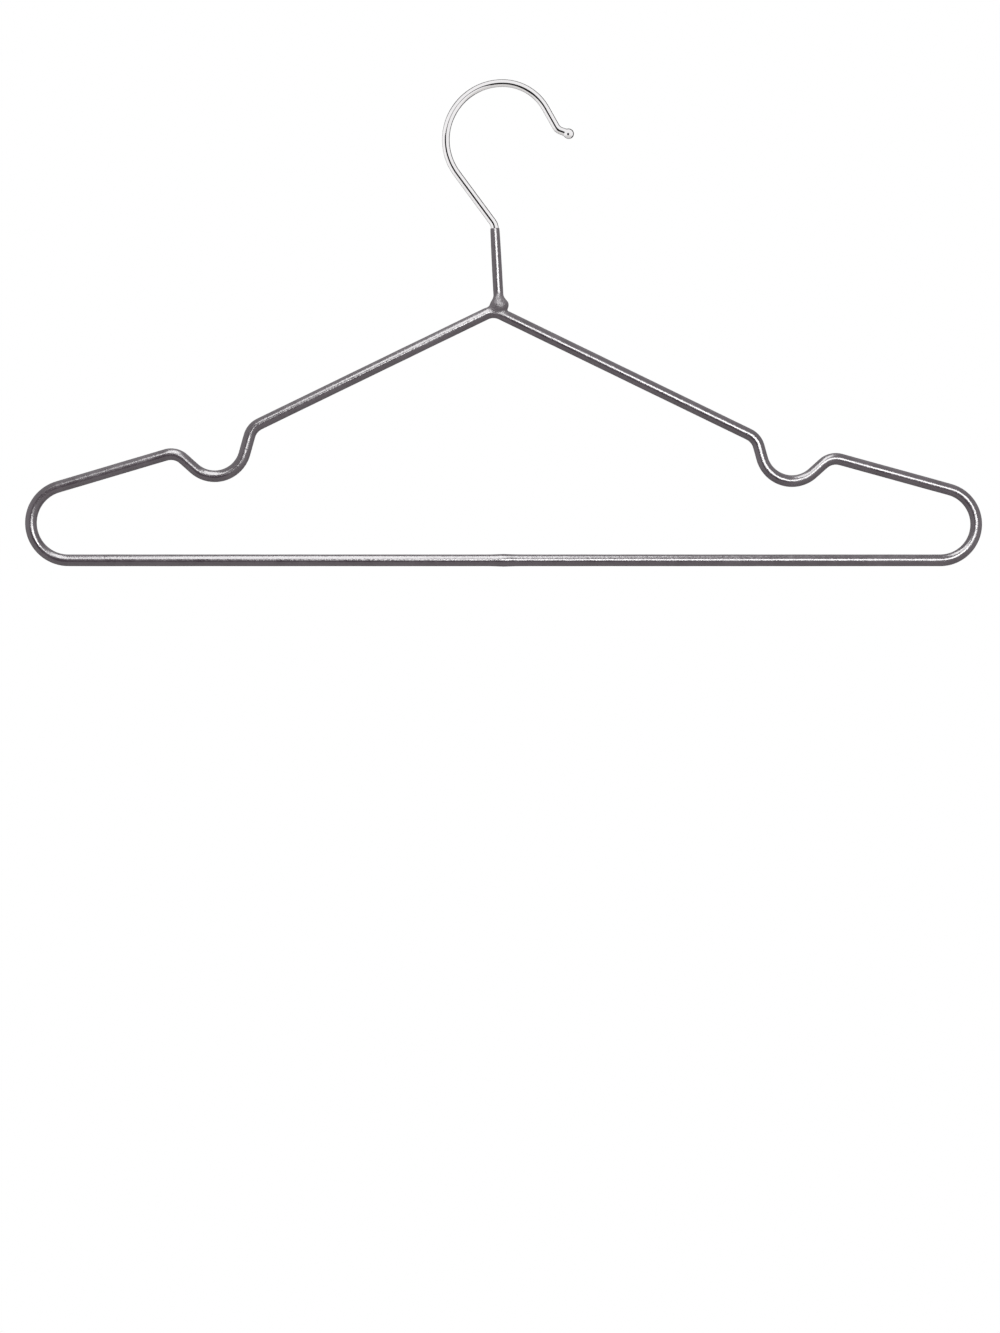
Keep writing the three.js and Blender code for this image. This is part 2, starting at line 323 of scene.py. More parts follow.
def lip_rise(size, slope, bend):
    """Height of an arm's line above the bar, at the reach of the notch's lip from the bar's middle."""
    touch = size.width / 2 - skin_radius(size) - bend * (1 - math.sin(slope))
    return bend * (1 + math.cos(slope)) + math.tan(slope) * (touch - size.lip_reach)


def side_corners(size, hook, side):
    """Corners of one side of the frame with their bends, from the bar up to the shoulder.

    side is 1 on the right and -1 on the left.
    """
    slope = size.arm_slope - side * size.arm_skew
    round_end = size.end_bend - side * size.end_skew
    bar_z = bar_height(size, hook)
    lip = complex(size.lip_reach, bar_z + lip_rise(size, slope, round_end))
    arm = heading(-slope)
    inner_wall = heading(size.notch_lean - math.pi / 2)
    outer_wall = heading(size.notch_slope)
    depth = size.notch_depth - side * size.notch_skew - size.notch_bend
    centre = lip + depth * (math.tan(size.notch_lean) - 1j) + size.notch_bend / math.cos(size.notch_lean)
    outer_touch = centre - 1j * outer_wall * size.notch_bend
    shoulder = complex(side * size.apex_shift, -hook.drop)
    corners = [
        (crossing(lip, arm, 1j * bar_z, 1 + 0j), round_end),
        (crossing(outer_touch, outer_wall, lip, arm), size.rim_bend),
        (crossing(outer_touch, outer_wall, lip, inner_wall), size.notch_bend),
        (crossing(shoulder, heading(-size.shoulder_slope), lip, inner_wall), size.lip_bend),
    ]
    return [(complex(size.bar_shift + side * at.real, at.imag), bend) for at, bend in corners]


def apex_corner(size, hook):
    """Where the two shoulders would meet if the apex were sharp."""
    return complex(size.bar_shift + size.apex_shift, -hook.drop)


def frame_line(size, hook):
    """The frame's wire, from the bar's middle round by the right, the apex and the left."""
    middle = (complex(size.bar_shift, bar_height(size, hook)), 0)
    apex = (apex_corner(size, hook), size.apex_bend)
    right, left = side_corners(size, hook, 1), side_corners(size, hook, -1)
    return bent_line([middle, *right, apex, *reversed(left), middle])


def neck_foot(size, hook):
    """Where the neck's axis starts, level with the corner of the apex, and its direction."""
    return apex_corner(size, hook) + hook.foot_offset, heading(math.pi / 2 + hook.neck_lean)


def neck_corner(size, hook):
    """Where the neck's axis meets the slanted shank."""
    foot, up = neck_foot(size, hook)
    return crossing(foot, up, crown_start(hook), heading(hook.slant - math.pi / 2))


def neck_edge(size, hook):
    """Height of the skin's upper edge along the neck: the start of the bend."""
    foot, _ = neck_foot(size, hook)
    return abs(neck_corner(size, hook) - foot) - hook.neck_bend * math.tan((hook.slant - hook.neck_lean) / 2)


def crown_start(hook):
    """Where the slanted shank would meet the level line through the crown's top."""
    return complex(-hook.crown_bend * math.tan((math.pi / 2 + hook.slant) / 2), hook.wire / 2)


def hook_line(size, hook):
    """The hook's wire, from its foot in the neck to the far side of the ball at its tip."""
    foot, up = neck_foot(size, hook)
    crown_end = complex(hook.front_bend * math.tan(hook.crown_turn / 2), hook.wire / 2)
    drop_corner = crown_end + (crown_end.real + hook.drop_run) * heading(-hook.crown_turn)
    tip = drop_corner + (hook.flare_run + hook.ball / 2) * heading(hook.flare_turn - hook.crown_turn)
    return bent_line([
        (foot + up * hook.foot_rise, 0),
        (neck_corner(size, hook), hook.neck_bend),
        (crown_start(hook), hook.crown_bend),
        (crown_end, hook.front_bend),
        (drop_corner, hook.flare_bend),
        (tip, 0),
    ])


# Meshes


def in_space(points, depth):
    """Points of the plane y = 0, moved to the depth y."""
    return np.stack([points.real, np.broadcast_to(depth, points.shape), points.imag], axis=-1)


def ring_points(rings, radii):
    """Points round each ring, starting on the right-hand side of its direction."""
    turn = np.arange(SIDES) * 2 * np.pi / SIDES
    reach = np.asarray(radii)[:, None]
    flat = rings.points[:, None] - 1j * rings.ways[:, None] * reach * np.cos(turn)
    return in_space(flat, reach * np.sin(turn))


def band(low, high):
    """Faces between two closed rows of points."""
    return np.stack([low, np.roll(low, -1), np.roll(high, -1), high], axis=-1).reshape(-1, 4).tolist()


def ease(share):
    """A smooth rise from 0 to 1."""
    share = np.clip(share, 0, 1)
    return share * share * (3 - 2 * share)


def neck_radius(size, hook, height):
    """Radius of the skin round the neck's axis: over the bead, up the shank and out to its thin edge."""
    belly = hook.bead + size.play + size.wall
    stem = hook.wire / 2 + size.play + hook.neck_wall
    low = np.clip((hook.bead_waist - height) / (hook.bead_waist - hook.bead_bottom), 0, 1)
    high = np.clip((height - hook.bead_waist) / (hook.bead_top - hook.bead_waist), 0, 1)
    thin = np.clip((height - hook.bead_top) / (neck_edge(size, hook) - hook.bead_top), 0, 1)
    below = hook.bead_root + (belly - hook.bead_root) * np.sqrt(1 - low**2)
    above = stem + (belly - stem) * (1 + np.cos(np.pi * high)) / 2
    above -= (hook.neck_wall - hook.edge_wall) * (1 - np.sqrt(1 - thin**2))
    return np.where(height < hook.bead_waist, below, above)


def joint_distance(size, hook, points):
    """Distance of points near the apex from the skin's surface: frame and neck, run together by a fillet."""
    flat, depth = points[:, 0] + 1j * points[:, 2], points[:, 1]
    centre = apex_corner(size, hook) - 1j * size.apex_bend / math.cos(size.shoulder_slope)
    lean = np.clip(math.pi / 2 - np.angle(flat - centre), -size.shoulder_slope, size.shoulder_slope)
    out = np.exp(1j * (math.pi / 2 - lean))
    off_frame = np.hypot(((flat - centre) * out.conj()).real - size.apex_bend, depth) - skin_radius(size)
    foot, up = neck_foot(size, hook)
    local = (flat - foot) * up.conjugate()
    height, right = local.real, -local.imag
    bulge = hook.bead_bulge * ease((hook.bead_top - height) / (hook.bead_top - hook.bead_waist))
    across = right - bulge * ease(right / hook.bead)
    off_neck = np.hypot(across, depth) - neck_radius(size, hook, height)
    off_neck = np.maximum(off_neck, hook.bead_bottom - height)
    side = ease(0.5 - right / (2 * hook.bead))
    fillet = hook.right_fillet + (hook.left_fillet - hook.right_fillet) * side
    near = np.maximum(fillet - np.abs(off_frame - off_neck), 0) / fillet
    return np.minimum(off_frame, off_neck) - near**2 * fillet / 4


def lay_on(points, distance, rounds=3):
    """Moves points along the slope of a distance until they lie where it is nought."""
    nudge = 1e-6
    for _ in range(rounds):
        off = distance(points)
        steps = np.eye(3) * nudge
        slope = np.stack([distance(points + step) - distance(points - step) for step in steps], axis=1)
        slope /= 2 * nudge
        points = points - slope * (off / np.maximum((slope**2).sum(axis=1), LEAST_SLOPE))[:, None]
    return points


def settle(points, faces, free, distance, rounds=40):
    """Evens out the spacing of the free points of a mesh and lays them on a surface.

    In each round, a wholly free point moves half-way to the middle of its neighbours.
    """
    quads = np.array(faces)
    pairs = np.concatenate([quads[:, [k, (k + 1) % 4]] for k in range(4)])
    pairs = np.concatenate([pairs, pairs[:, ::-1]])
    loose = np.flatnonzero(free > 0)
    pairs = pairs[np.isin(pairs[:, 0], loose)]
    share = free[loose, None] / 2
    count = np.bincount(pairs[:, 0], minlength=len(points))[loose, None]
    for _ in range(rounds):
        total = np.stack(
            [np.bincount(pairs[:, 0], points[pairs[:, 1], k], len(points))[loose] for k in range(3)], axis=1
        )
        points[loose] += share * (total / count - points[loose])
        points[loose] = lay_on(points[loose], distance, 1)
    points[loose] = lay_on(points[loose], distance)
    return points


def new_piece(name, points, faces, material):
    """A smooth mesh object with one material."""
    mesh = bpy.data.meshes.new(name)
    mesh.from_pydata(points.tolist(), [], faces)
    mesh.validate()
    mesh.shade_smooth()
    mesh.materials.append(material)
    piece = bpy.data.objects.new(name, mesh)
    bpy.context.scene.collection.objects.link(piece)
    return piece


def patch_rim():
    """Steps along and round the frame, from the neck's foot to each point on the rim of its patch."""
    p = PATCH
    return (
        [(-p, k) for k in range(p)]
        + [(k, p) for k in range(-p, p)]
        + [(p, k) for k in range(p, -p, -1)]
        + [(k, -p) for k in range(p, -p, -1)]
        + [(-p, k) for k in range(-p, 0)]
    )


def skin_mesh(size, hook):
    """Points and faces of the skin's outside, and the shares of the full wall and of the weld at each point.

    The frame is a closed row of rings. A square patch is left out of it at the foot of the neck, and rows of
    points rise from its rim to the neck's rings.
    """
    line = frame_line(size, hook)
    foot, up = neck_foot(size, hook)
    off_joint = ease((np.abs(line.points - foot) - JOINT_REACH) / JOINT_FADE)
    rings = place_rings(line, JOINT_STEP + (bend_spacing(line) - JOINT_STEP) * off_joint)
    from_weld = np.minimum(rings.along, rings.along[-1] - rings.along)
    radii = skin_radius(size) + size.weld_swell * np.exp(-((from_weld / size.weld_run) ** 2))
    grid = ring_points(rings, radii)[:-1]
    count = len(grid)

    centre = int(np.argmin(np.abs(rings.points - foot)))
    rows = (np.arange(count)[:, None] - centre + count // 2) % count - count // 2
    columns = (np.arange(SIDES)[None, :] + SIDES // 2) % SIDES - SIDES // 2
    kept = (np.abs(rows) >= PATCH) | (np.abs(columns) >= PATCH)
    ids = np.where(kept, np.cumsum(kept).reshape(kept.shape) - 1, -1)
    beside = np.roll(ids, -1, axis=1)
    quads = np.stack([ids, beside, np.roll(beside, -1, axis=0), np.roll(ids, -1, axis=0)], axis=-1)
    whole = (rows < -PATCH) | (rows >= PATCH) | (columns < -PATCH) | (columns >= PATCH)
    faces = quads[whole].tolist()
    points = [grid[kept]]

    rim = np.array([ids[(centre + a) % count, b % SIDES] for a, b in patch_rim()])
    stem_run = neck_edge(size, hook) - hook.bead_top
    stem_heights = hook.bead_top + stem_run * np.sin(np.linspace(0, math.pi / 2, STEM_ROWS))
    stem = Rings(foot + up * stem_heights, np.full(len(stem_heights), up), stem_heights)
    stem_rows = ring_points(stem, neck_radius(size, hook, stem_heights))
    low_row = points[0][rim]
    rises = np.linspace(0, 1, RISER_ROWS)[1:-1, None, None]
    points += [(low_row + (stem_rows[0] - low_row) * rises).reshape(-1, 3), stem_rows.reshape(-1, 3)]
    points = np.concatenate(points)
    risers = np.arange(len(points) - (len(rises) + len(stem_rows)) * SIDES, len(points)).reshape(-1, SIDES)
    for low, high in zip([rim, *risers], risers):
        faces += band(low, high)

    reach = np.linalg.norm(points - in_space(np.array([foot + up * hook.bead_waist]), 0.0), axis=1)
    free = ease((SETTLE_REACH - reach) / SETTLE_FADE)
    points = settle(points, faces, free, lambda spots: joint_distance(size, hook, spots))
    on_weld = share_on_weld(points, size, hook)
    return points, faces, share_of_wall(points, size, hook, on_weld), on_weld


def share_of_wall(points, size, hook, on_weld):
    """Thickness of the skin as a share of the wall on the frame: less on the neck and over the weld."""
    foot, up = neck_foot(size, hook)
    height = ((points[:, 0] + 1j * points[:, 2] - foot) * up.conjugate()).real
    thin = np.clip((height - hook.bead_top) / (neck_edge(size, hook) - hook.bead_top), 0, 1)
    neck = hook.edge_wall + (hook.neck_wall - hook.edge_wall) * np.sqrt(1 - thin**2)
    on_neck = ease((height - hook.bead_waist) / (hook.bead_top - hook.bead_waist))
    wall = size.wall + (neck - size.wall) * on_neck
    return (wall + (hook.weld_wall - wall) * on_weld) / size.wall


def share_on_weld(points, size, hook):
    """How much of the weld shows at each point: all of it on the bead, none a little way off."""
    foot, up = neck_foot(size, hook)
    return ease(2 - np.abs(points[:, 0] + 1j * points[:, 2] - foot - up * hook.bead_waist) / hook.bead)


def ripple_skin(mesh, size, hook, on_weld):
    """Lets the skin swell and thin along the wire, as a dipped skin does, and more so over the weld."""
    normals = [normal.vector.copy() for normal in mesh.vertex_normals]
    for vertex, normal, share in zip(mesh.vertices, normals, on_weld):
        swell = size.ripple * (noise.noise(vertex.co / size.ripple_run) - RIPPLE_SINK)
        lump = hook.lump * share * (noise.noise(vertex.co / hook.lump_grain) - LUMP_SINK)
        vertex.co += normal * (swell + min(lump, 0))


def hook_mesh(size, hook):
    """Points and faces of the hook, and each point's place on the straight wire it was bent from."""
    line = hook_line(size, hook)
    ball = hook.ball / 2
    to_go = (run_along(line)[-1] - run_along(line)).clip(0)
    round_step = BALL_STEP * np.sqrt(np.clip(to_go * (2 * ball - to_go), 0, None)) + POLE_STEP
    spacing = np.where(to_go < ball, round_step, np.where(to_go < 3 * ball, STALK_STEP, RUN_STEP))
    rings = place_rings(line, np.minimum(bend_spacing(line), spacing))
    past = ball - (rings.along[-1] - rings.along)
    globe = np.sqrt(np.clip(ball**2 - past**2, 0, None))
    wire = np.full(len(past), hook.wire / 2)
    near = np.maximum(BALL_BLEND - np.abs(globe - wire), 0) / BALL_BLEND
    stalk = np.maximum(globe, wire) + near**2 * BALL_BLEND / 4 * (past > -2 * ball)
    radii = np.where(past > 0, globe, stalk)
    rows = ring_points(rings, radii)
    body = rows[:-1].reshape(-1, 3)
    ends = in_space(rings.points[[0, -1]], 0.0)
    ids = np.arange(len(body)).reshape(-1, SIDES)
    faces = [face for low, high in zip(ids, ids[1:]) for face in band(low, high)]
    foot, tip = len(body), len(body) + 1
    faces += [[foot, b, a] for a, b in zip(ids[0], np.roll(ids[0], -1))]
    faces += [[tip, a, b] for a, b in zip(ids[-1], np.roll(ids[-1], -1))]
    turn = np.arange(SIDES) * 2 * np.pi / SIDES
    across, depth = hook.wire / 2 * np.cos(turn), hook.wire / 2 * np.sin(turn)
    straight = np.stack(np.broadcast_arrays(across, depth, rings.along[:-1, None]), axis=-1).reshape(-1, 3)
    straight = np.concatenate([straight, [[0, 0, rings.along[0]], [0, 0, rings.along[-1]]]])
    return np.concatenate([body, ends]), faces, straight


# Finishes


def add_node(tree, kind, inputs=None, stops=(), **settings):
    """Adds a node with its settings.

    inputs holds a value or another node's output for each socket, and stops holds a colour ramp's places and
    colours.
    """
    node = tree.nodes.new(kind)
    for name, value in settings.items():
        setattr(node, name, value)
    for socket, value in (inputs or {}).items():
        if isinstance(value, bpy.types.NodeSocket):
            tree.links.new(value, node.inputs[socket])
        else:
            node.inputs[socket].default_value = value
    for index, (place, tint) in enumerate(stops):
        stop = node.color_ramp.elements[index]
        stop.position, stop.color = place, tint
    return node


def new_material(name):
    """An empty node material."""
    material = bpy.data.materials.new(name)
    material.use_nodes = True
    material.node_tree.nodes.clear()
    return material, material.node_tree


def darker(tint, share):
    """A colour with only a share of its light."""
    return (*[share * c for c in tint[:3]], 1.0)


def dipped_vinyl(finish):
    """Soft PVC, dipped: a dark, cloudy, half-gloss skin with fine dimples, which shows the weld's ripples.

    It is duller over the weld, and edge on, so that no lamp's grazing shine washes out the outline.
    """
    material, tree = new_material("dipped_vinyl")
    place = add_node(tree, "ShaderNodeTexCoord").outputs["Object"]
    cloud = add_node(
        tree,
        "ShaderNodeTexNoise",
        {"Vector": place, "Scale": 1 / finish.cloud, "Detail": 4, "Roughness": 0.6},
    )
    peel = add_node(
        tree,
        "ShaderNodeTexNoise",
        {"Vector": place, "Scale": 1 / finish.peel, "Detail": 2, "Roughness": 0.5},
    )
    shade = add_node(
        tree,
        "ShaderNodeValToRGB",
        {"Fac": cloud.outputs["Fac"]},
        stops=((0.35, finish.vinyl_thick), (0.65, finish.vinyl_thin)),
    )
    rough = add_node(
        tree,
        "ShaderNodeMapRange",
        {"Value": cloud.outputs["Fac"], "From Min": 0.3, "From Max": 0.7, "To Min": 0.16, "To Max": 0.28},
    )
    dimples = add_node(
        tree, "ShaderNodeBump", {"Height": peel.outputs["Fac"], "Strength": 1, "Distance": mm(0.06)}
    )
    ripple = add_node(
        tree,
        "ShaderNodeTexNoise",
        {"Vector": place, "Scale": 1 / finish.weld_ripple, "Detail": 2, "Roughness": 0.6},
    )
    on_weld = add_node(tree, "ShaderNodeAttribute", attribute_name="on_weld")
    bump = add_node(
        tree,
        "ShaderNodeBump",
        {
            "Height": ripple.outputs["Fac"],
            "Strength": on_weld.outputs["Fac"],
            "Distance": mm(0.25),
            "Normal": dimples.outputs["Normal"],
        },
    )
    dull = add_node(
        tree,
        "ShaderNodeMath",
        {0: on_weld.outputs["Fac"], 1: WELD_DULLING, 2: rough.outputs["Result"]},
        operation="MULTIPLY_ADD",
    )
    facing = add_node(tree, "ShaderNodeLayerWeight", {"Blend": 0.5})
    edge_on = add_node(
        tree, "ShaderNodeMapRange", {"Value": facing.outputs["Facing"], "From Min": 0.25, "From Max": 0.65}
    )
    matt = add_node(
        tree,
        "ShaderNodeMath",
        {0: edge_on.outputs["Result"], 1: EDGE_DULLING, 2: dull.outputs["Value"]},
        operation="MULTIPLY_ADD",
    )
    shader = add_node(
        tree,
        "ShaderNodeBsdfPrincipled",
        {
            "Base Color": shade.outputs["Color"],
            "Roughness": matt.outputs["Value"],
            "IOR": 1.53,
            "Specular IOR Level": 0.8,  # shinier than plain PVC, to match the highlights
            "Normal": bump.outputs["Normal"],
        },
    )
    add_node(tree, "ShaderNodeOutputMaterial", {"Surface": shader.outputs["BSDF"]})
    return material


def bright_plate(finish):
    """Nickel-chrome plate on drawn wire: a near mirror, with the die's faint lines running along the wire.

    Real die lines are finer. These are drawn as coarse as they need to be to show.
    """
    material, tree = new_material("bright_plate")
    wire = add_node(tree, "ShaderNodeAttribute", attribute_name="straight_wire")
    across, along = 1 / finish.die_line, 1 / (DIE_STRETCH * finish.die_line)
    drawn = add_node(
        tree,
        "ShaderNodeVectorMath",
        {0: wire.outputs["Vector"], 1: (across, across, along)},
        operation="MULTIPLY",
    )
    lines = add_node(
        tree,
        "ShaderNodeTexNoise",
        {"Vector": drawn.outputs["Vector"], "Scale": 1, "Detail": 3, "Roughness": 0.6},
    )
    tint = add_node(
        tree,
        "ShaderNodeValToRGB",
        {"Fac": lines.outputs["Fac"]},
        stops=((0.3, darker(finish.plate, 0.9)), (0.6, finish.plate)),
    )
    rough = add_node(
        tree,
        "ShaderNodeMapRange",
        {"Value": lines.outputs["Fac"], "From Min": 0.3, "From Max": 0.7, "To Min": 0.09, "To Max": 0.04},
    )
    bump = add_node(
        tree, "ShaderNodeBump", {"Height": lines.outputs["Fac"], "Strength": 0.05, "Distance": mm(0.01)}
    )
    shader = add_node(
        tree,
        "ShaderNodeBsdfPrincipled",
        {
            "Base Color": tint.outputs["Color"],
            "Metallic": 1,
            "Roughness": rough.outputs["Result"],
            "Normal": bump.outputs["Normal"],
        },
    )
    add_node(tree, "ShaderNodeOutputMaterial", {"Surface": shader.outputs["BSDF"]})
    return material


def bare_steel(name, tint, grain, roughness, depth):
    """Bare low-carbon steel under the skin: grey and dull, with patches as large as its grain."""
    material, tree = new_material(name)
    place = add_node(tree, "ShaderNodeTexCoord").outputs["Object"]
    patches = add_node(
        tree, "ShaderNodeTexNoise", {"Vector": place, "Scale": 1 / grain, "Detail": 3, "Roughness": 0.55}
    )
    shade = add_node(
        tree,
        "ShaderNodeValToRGB",
        {"Fac": patches.outputs["Fac"]},
        stops=((0.3, darker(tint, 0.7)), (0.7, tint)),
    )
    low, high = roughness
    rough = add_node(
        tree,
        "ShaderNodeMapRange",
        {"Value": patches.outputs["Fac"], "From Min": 0.3, "From Max": 0.7, "To Min": high, "To Max": low},
    )
    bump = add_node(
        tree, "ShaderNodeBump", {"Height": patches.outputs["Fac"], "Strength": 0.4, "Distance": depth}
    )
    shader = add_node(
        tree,
        "ShaderNodeBsdfPrincipled",
        {
            "Base Color": shade.outputs["Color"],
            "Metallic": 1,
            "Roughness": rough.outputs["Result"],
            "Normal": bump.outputs["Normal"],
        },
    )
    add_node(tree, "ShaderNodeOutputMaterial", {"Surface": shader.outputs["BSDF"]})
    return material


def painted_floor(finish, size):
    """Matt painted board, pale and a little uneven, which fades into the white room towards its edges."""
    material, tree = new_material("painted_floor")
    place = add_node(tree, "ShaderNodeTexCoord").outputs["Object"]
    patches = add_node(tree, "ShaderNodeTexNoise", {"Vector": place, "Scale": 1 / FLOOR_PATCH, "Detail": 3})
    shade = add_node(
        tree,
        "ShaderNodeValToRGB",
        {"Fac": patches.outputs["Fac"]},
        stops=((0.3, darker(finish.floor, 0.97)), (0.7, finish.floor)),
    )
    paint = add_node(tree, "ShaderNodeBsdfDiffuse", {"Color": shade.outputs["Color"]})
    clear = add_node(tree, "ShaderNodeBsdfTransparent")
    reach = add_node(tree, "ShaderNodeVectorMath", {0: place}, operation="LENGTH")
    start, end = FLOOR_FADE
    fade = add_node(
        tree,
        "ShaderNodeMapRange",
        {"Value": reach.outputs["Value"], "From Min": start * size, "From Max": end * size},
        interpolation_type="SMOOTHSTEP",
    )
    mix = add_node(
        tree,
        "ShaderNodeMixShader",
        {0: fade.outputs["Result"], 1: paint.outputs["BSDF"], 2: clear.outputs["BSDF"]},
    )
    add_node(tree, "ShaderNodeOutputMaterial", {"Surface": mix.outputs["Shader"]})
    return material


def black_felt(finish):
    """Matt black felt on a frame, which gives the plating something dark to reflect."""
    material, tree = new_material("black_felt")
    felt = add_node(tree, "ShaderNodeBsdfDiffuse", {"Color": finish.flag})
    add_node(tree, "ShaderNodeOutputMaterial", {"Surface": felt.outputs["BSDF"]})
    return material


# Stage


def new_card(name, centre, facing, width, height, material):
    """A flat card that faces a point."""
    corners = [(x * width / 2, y * height / 2, 0) for x, y in ((-1, -1), (1, -1), (1, 1), (-1, 1))]
    mesh = bpy.data.meshes.new(name)
    mesh.from_pydata(corners, [], [range(4)])
    mesh.materials.append(material)
    card = bpy.data.objects.new(name, mesh)
    card.location = centre
    card.rotation_euler = (Vector(centre) - Vector(facing)).to_track_quat("-Z", "Y").to_euler()
    bpy.context.scene.collection.objects.link(card)
    return card


def around(target, panel):
    """Where a panel stands that faces the target."""
    turn, rise = math.radians(panel.right), math.radians(panel.up)
    step = Vector((math.sin(turn) * math.cos(rise), -math.cos(turn) * math.cos(rise), math.sin(rise)))
    return Vector(target) + step * panel.distance


def new_lamp(panel, target, radiance):
    """A soft box that faces the target, with its brightness as a radiance."""
    light = bpy.data.lights.new(panel.name, "AREA")
    light.shape = "RECTANGLE"
    light.size, light.size_y = panel.width, panel.height
    light.energy = radiance * math.pi * panel.width * panel.height
    centre = around(target, panel)
    lamp = bpy.data.objects.new(panel.name, light)
    lamp.location = centre
    lamp.rotation_euler = (Vector(target) - centre).to_track_quat("-Z", "Y").to_euler()
    lamp.visible_camera = False
    bpy.context.scene.collection.objects.link(lamp)
    return lamp


def white_room(fill):
    """A world that looks white to the camera and in reflections, and that lights the rest evenly."""
    world = bpy.data.worlds.new("white_room")
    world.use_nodes = True
    tree = world.node_tree
    tree.nodes.clear()
    path = add_node(tree, "ShaderNodeLightPath").outputs
    direct = add_node(
        tree, "ShaderNodeMath", {0: path["Is Camera Ray"], 1: path["Is Glossy Ray"]}, operation="MAXIMUM"
    )
    seen = add_node(
        tree,
        "ShaderNodeMath",
        {0: direct.outputs["Value"], 1: path["Is Transmission Ray"]},
        operation="MAXIMUM",
    )
    strength = add_node(
        tree, "ShaderNodeMapRange", {"Value": seen.outputs["Value"], "To Min": fill, "To Max": 1.0}
    )
    shader = add_node(
        tree, "ShaderNodeBackground", {"Color": linear("#FFFFFF"), "Strength": strength.outputs["Result"]}
    )
    add_node(tree, "ShaderNodeOutputWorld", {"Surface": shader.outputs["Background"]})
    return world


def lay_floor(stage, finish):
    """A wide floor, well below the hanger."""
    side = stage.floor_size
    centre = Vector((stage.view_x, 0, stage.floor_z))
    new_card("floor", centre, centre + Vector((0, 0, 1)), side, side, painted_floor(finish, side))


def hang_flags(target, felt):
    """Dark flags all round, which show only in reflections."""
    for panel in FLAGS:
        flag = new_card(panel.name, around(target, panel), target, panel.width, panel.height, felt)
        flag.visible_camera = flag.visible_diffuse = flag.visible_shadow = False


def hang_lamps(target, stage):
    """A broad lamp that lights without a reflection, and three that show only as highlights on the vinyl."""
    front = new_lamp(FRONT_BOX, target, stage.front)
    front.visible_glossy = False
    vinyl = bpy.data.collections.new("vinyl")
    vinyl.objects.link(bpy.data.objects["vinyl_skin"])
    for panel, radiance in ((KEY_BOX, stage.key), (SOFT_BOX, stage.soft), (BACK_BOX, stage.back)):
        lamp = new_lamp(panel, target, radiance)
        lamp.visible_diffuse = False
        lamp.light_linking.receiver_collection = vinyl


def new_camera(stage):
    """A camera level with the middle of the picture, which looks straight at the hanger's front."""
    camera = bpy.data.cameras.new("camera")
    width, height = PICTURE
    view_height = stage.view_width * height / width
    camera.lens = camera.sensor_width * stage.distance / view_height
    holder = bpy.data.objects.new("camera", camera)
    holder.location = (stage.view_x, -stage.distance, stage.view_z)
    holder.rotation_euler = (math.pi / 2, 0, 0)
    bpy.context.scene.collection.objects.link(holder)
    return holder


# Operators


class HANGER_OT_vinyl_skin(bpy.types.Operator):
    """Builds the dipped vinyl skin on the frame and the neck"""

    bl_idname = "hanger.vinyl_skin"
    bl_label = "Vinyl skin"

    def execute(self, context):
        size, hook = context.scene.hanger_frame, context.scene.hanger_hook
        points, faces, wall, on_weld = skin_mesh(size, hook)
        skin = new_piece("vinyl_skin", points, faces, dipped_vinyl(context.scene.hanger_finish))
        group = skin.vertex_groups.new(name="wall")
        for index, share in enumerate(wall):
            group.add([index], float(share), "REPLACE")
        shares = skin.data.attributes.new("on_weld", "FLOAT", "POINT")
        shares.data.foreach_set("value", on_weld.astype(np.float32))
        ripple_skin(skin.data, size, hook, on_weld)
        hollow = skin.modifiers.new("hollow", "SOLIDIFY")
        hollow.thickness, hollow.offset = size.wall, -1
        hollow.use_even_offset = hollow.use_quality_normals = True
        hollow.vertex_group = group.name
        with context.temp_override(object=skin, active_object=skin):
            bpy.ops.object.modifier_apply(modifier=hollow.name)
        skin.data.set_sharp_from_angle(angle=SHARP)
        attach(skin, "root")
        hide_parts("coating")
        return {"FINISHED"}


class HANGER_OT_plated_hook(bpy.types.Operator):
    """Builds the bright-plated hook with the ball at its tip"""

    bl_idname = "hanger.plated_hook"
    bl_label = "Plated hook"

    def execute(self, context):
        points, faces, straight = hook_mesh(context.scene.hanger_frame, context.scene.hanger_hook)
        hook = new_piece("plated_hook", points, faces, bright_plate(context.scene.hanger_finish))
        places = hook.data.attributes.new("straight_wire", "FLOAT_VECTOR", "POINT")
        places.data.foreach_set("vector", straight.astype(np.float32).ravel())
        hook.data.set_sharp_from_angle(angle=SHARP)
        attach(hook, "root")
        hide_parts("hook")
        return {"FINISHED"}


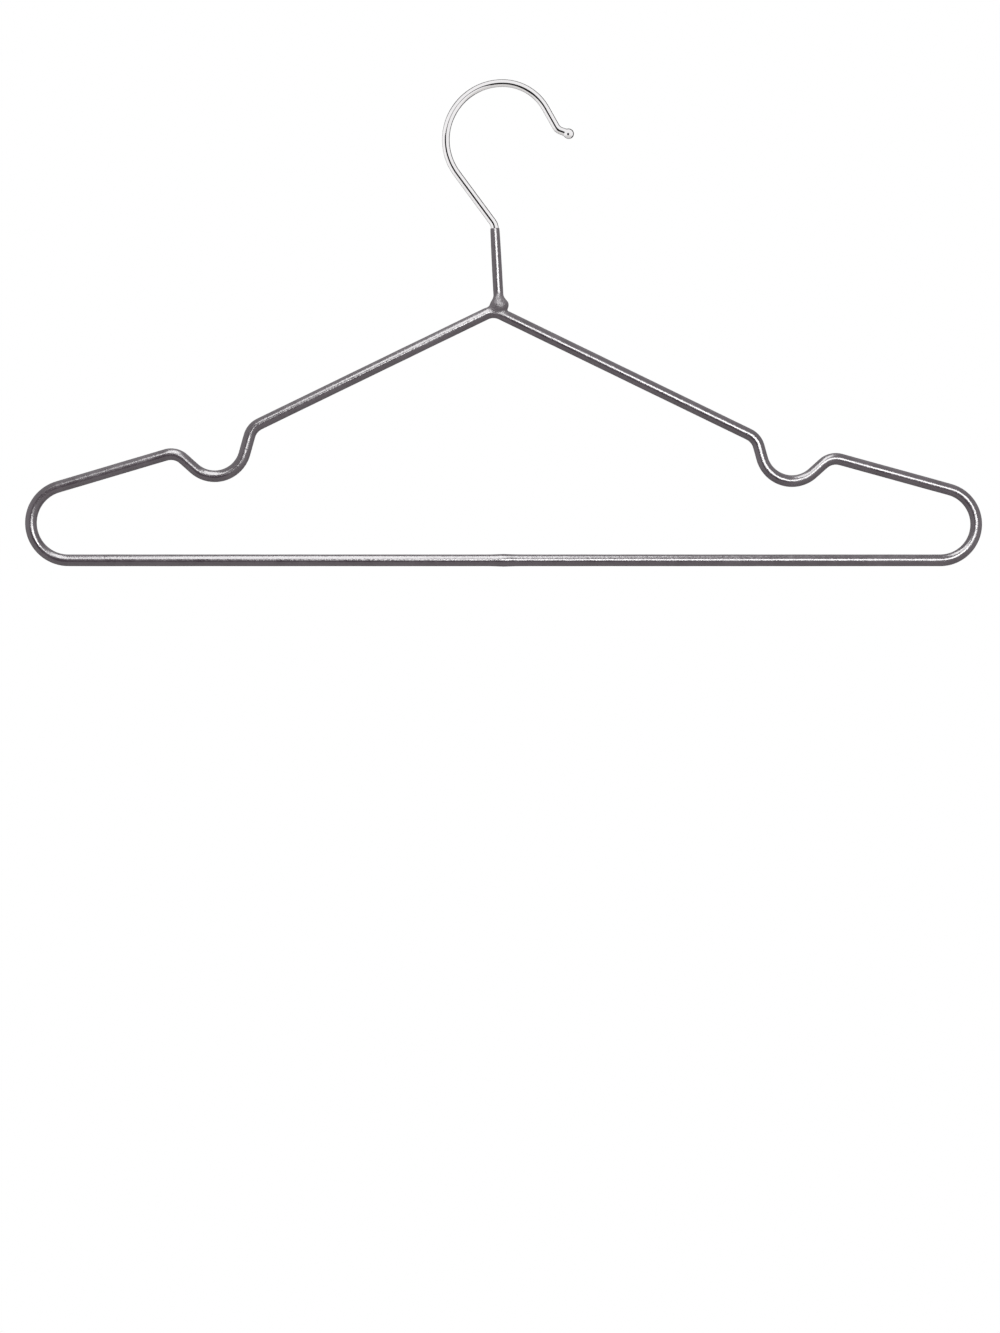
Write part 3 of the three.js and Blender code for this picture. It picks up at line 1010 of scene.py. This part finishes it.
class HANGER_OT_inner_steel(bpy.types.Operator):
    """Gives the wire and the welds inside the skin their bare steel"""

    bl_idname = "hanger.inner_steel"
    bl_label = "Inner steel"

    def execute(self, context):
        finish = context.scene.hanger_finish
        drawn = bare_steel(
            "drawn_steel_wire",
            finish.steel,
            grain=DRAWN_GRAIN * finish.die_line,
            roughness=(0.3, 0.5),
            depth=mm(0.02),
        )
        weld = bare_steel(
            "weld_metal", finish.weld, grain=finish.weld_ripple, roughness=(0.5, 0.75), depth=mm(0.1)
        )
        for node, material in (("frame_wire", drawn), ("butt_weld", weld), ("hook_weld", weld)):
            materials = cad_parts[node].data.materials
            materials.clear()
            materials.append(material)
        return {"FINISHED"}


class HANGER_OT_studio(bpy.types.Operator):
    """Sets up the floor, the soft light, the dark flags and the camera"""

    bl_idname = "hanger.studio"
    bl_label = "Studio"

    def execute(self, context):
        scene = context.scene
        stage, finish = scene.hanger_stage, scene.hanger_finish
        scene.view_settings.view_transform = "Standard"
        scene.world = white_room(stage.fill)
        lay_floor(stage, finish)
        target = (stage.view_x, 0, AIM_HEIGHT)
        hang_flags(target, black_felt(finish))
        hang_lamps(target, stage)
        scene.camera = new_camera(stage)
        return {"FINISHED"}


PIECES = (HANGER_OT_vinyl_skin, HANGER_OT_plated_hook, HANGER_OT_inner_steel, HANGER_OT_studio)
SETTINGS = {
    "hanger_frame": HangerFrame,
    "hanger_hook": HangerHook,
    "hanger_finish": HangerFinish,
    "hanger_stage": HangerStage,
}


class HANGER_PT_looks(bpy.types.Panel):
    """Lists the hanger's settings and the operators that build it"""

    bl_idname = "HANGER_PT_looks"
    bl_label = "Trouser hanger"
    bl_space_type = "VIEW_3D"
    bl_region_type = "UI"
    bl_category = "Hanger"

    def draw(self, context):
        for piece in PIECES:
            self.layout.operator(piece.bl_idname)
        for name, group in SETTINGS.items():
            box = self.layout.box()
            for setting in group.__annotations__:
                box.prop(getattr(context.scene, name), setting)


def register():
    """Makes the settings, the operators and the panel known to Blender."""
    for cls in (*SETTINGS.values(), *PIECES, HANGER_PT_looks):
        bpy.utils.register_class(cls)
    for name, group in SETTINGS.items():
        setattr(bpy.types.Scene, name, PointerProperty(type=group))


def unregister():
    """Takes them out again."""
    for name in SETTINGS:
        delattr(bpy.types.Scene, name)
    for cls in (HANGER_PT_looks, *reversed(PIECES), *SETTINGS.values()):
        bpy.utils.unregister_class(cls)


def main():
    """Builds every piece and the studio."""
    register()
    bpy.ops.hanger.vinyl_skin()
    bpy.ops.hanger.plated_hook()
    bpy.ops.hanger.inner_steel()
    bpy.ops.hanger.studio()


if __name__ == "__main__":
    main()
